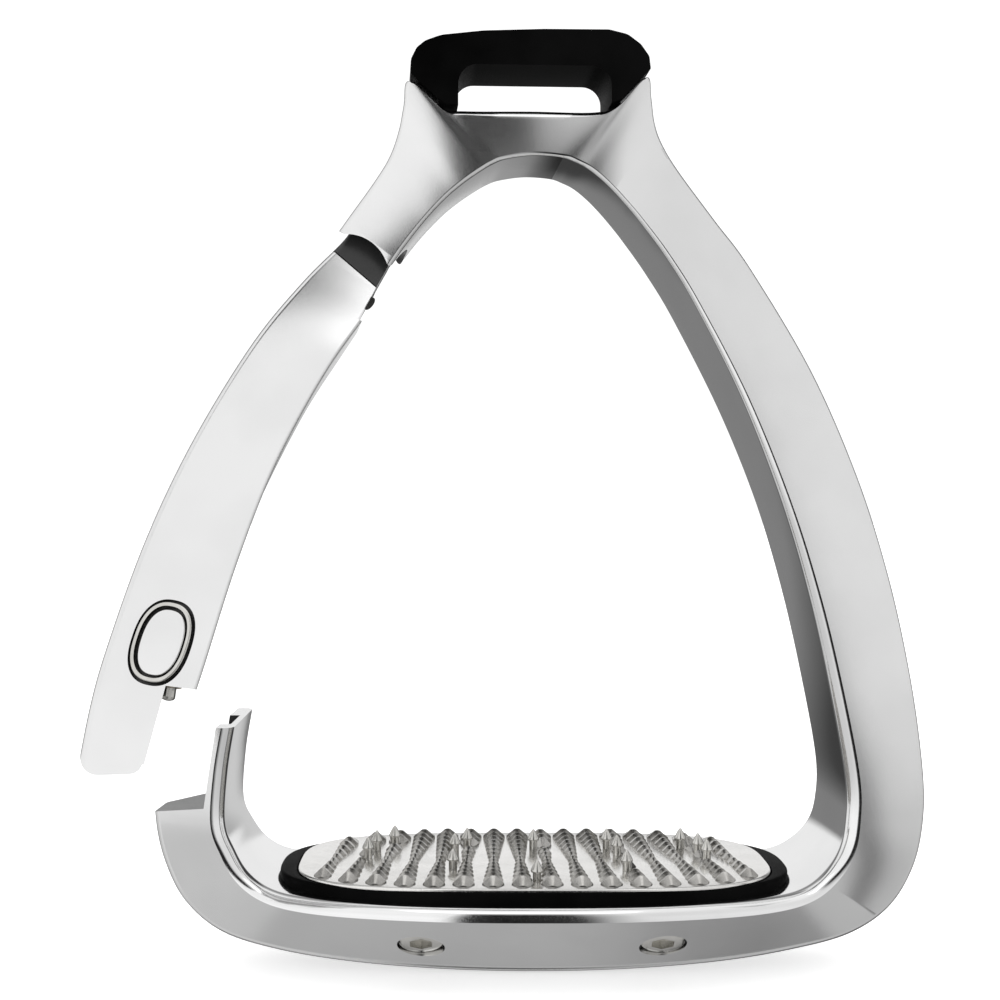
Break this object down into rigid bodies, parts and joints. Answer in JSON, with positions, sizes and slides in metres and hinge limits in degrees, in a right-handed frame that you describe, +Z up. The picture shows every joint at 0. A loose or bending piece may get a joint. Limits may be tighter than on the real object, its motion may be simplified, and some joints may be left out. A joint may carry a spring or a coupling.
{
  "type": "stirrup iron",
  "caption": "Safety stirrup iron with a turned eyelet, a release arm hinged at the upper left, a spring latch, and a studded steel tread on a rubber pad.",
  "frame": {"origin": "underside of the eyelet bar, where the stirrup leather bears, at the middle of the slot's length and depth", "axes": "+Z up along the hanging leather, +X to the right seen from the front, +Y to the back; the release arm is on the -X side"},
  "size_m": [0.1668, 0.0752, 0.1904],
  "materials": {
    "satin_aluminium": "satin, polished on the edges of the foot opening",
    "black_rubber": "matt, fine grain",
    "charcoal_plastic": "semi-matt",
    "polished_steel": "polished",
    "tread_steel": "serrated, bright",
    "brass": "plain"
  },
  "bodies": {
    "frame": {"frame": "satin_aluminium", "eyelet_pad": "black_rubber", "tread_plate": "tread_steel", "tread_pad": "black_rubber", "stud_01": "polished_steel", "stud_02": "polished_steel", "stud_03": "polished_steel", "stud_04": "polished_steel", "stud_05": "polished_steel", "stud_06": "polished_steel", "stud_07": "polished_steel", "stud_08": "polished_steel", "stud_09": "polished_steel", "stud_10": "polished_steel", "stud_11": "polished_steel", "stud_12": "polished_steel", "stud_13": "polished_steel", "stud_14": "polished_steel", "tread_screw_1": "polished_steel", "tread_screw_2": "polished_steel", "tread_screw_3": "polished_steel", "tread_screw_4": "polished_steel"},
    "arm": {"release_arm": "satin_aluminium", "knuckle_cover": "charcoal_plastic", "hinge_pin": "polished_steel", "hinge_washer_inner": "polished_steel", "hinge_washer_outer": "polished_steel", "latch_sleeve": "brass", "latch_spring": "polished_steel", "badge_bezel": "polished_steel", "badge_plate": "satin_aluminium"},
    "plunger": {"latch_plunger": "polished_steel"}
  },
  "joints": [
    {"name": "arm_hinge", "type": "hinge", "parent": "frame", "child": "arm", "pos_m": [-0.0369, 0, -0.0449], "axis": [-0.7197, 0.3498, 0.5997], "range_deg": [-20.5, 10]},
    {"name": "latch_slide", "type": "slide", "parent": "arm", "child": "plunger", "axis": [0.0952, 0.2653, 0.9595], "range_m": [0, 0.0013], "stiffness_N_per_m": 1500, "springref_m": -0.001}
  ]
}
